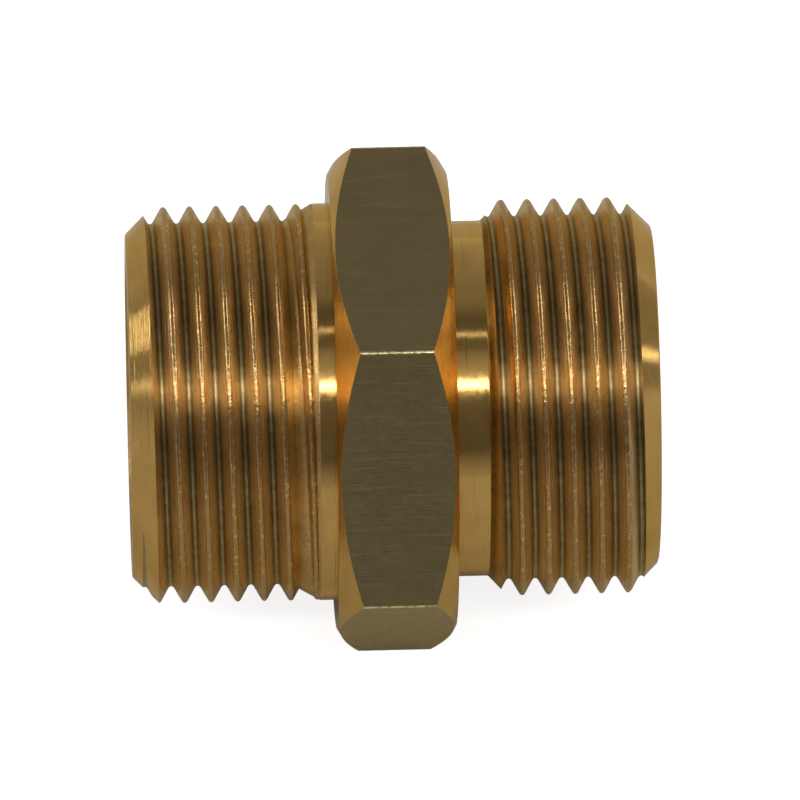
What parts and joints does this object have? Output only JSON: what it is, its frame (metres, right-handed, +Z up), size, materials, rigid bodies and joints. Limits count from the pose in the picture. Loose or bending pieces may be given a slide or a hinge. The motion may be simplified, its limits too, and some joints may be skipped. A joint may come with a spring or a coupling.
{
  "type": "hex nipple",
  "caption": "One-piece brass hex nipple with a through bore, a male metric thread at each end and a chamfered spanner hexagon between them.",
  "frame": {"origin": "on the axis, at the middle of the hexagon's length", "axes": "+X along the axis towards the end with the relief neck, +Z up, square to a flat of the hexagon"},
  "size_m": [0.0396, 0.0404, 0.035],
  "materials": {
    "brass": "turned brass, with the hexagon's flats left as drawn bar"
  },
  "bodies": {
    "root": {"nipple_body": "brass"}
  },
  "joints": []
}
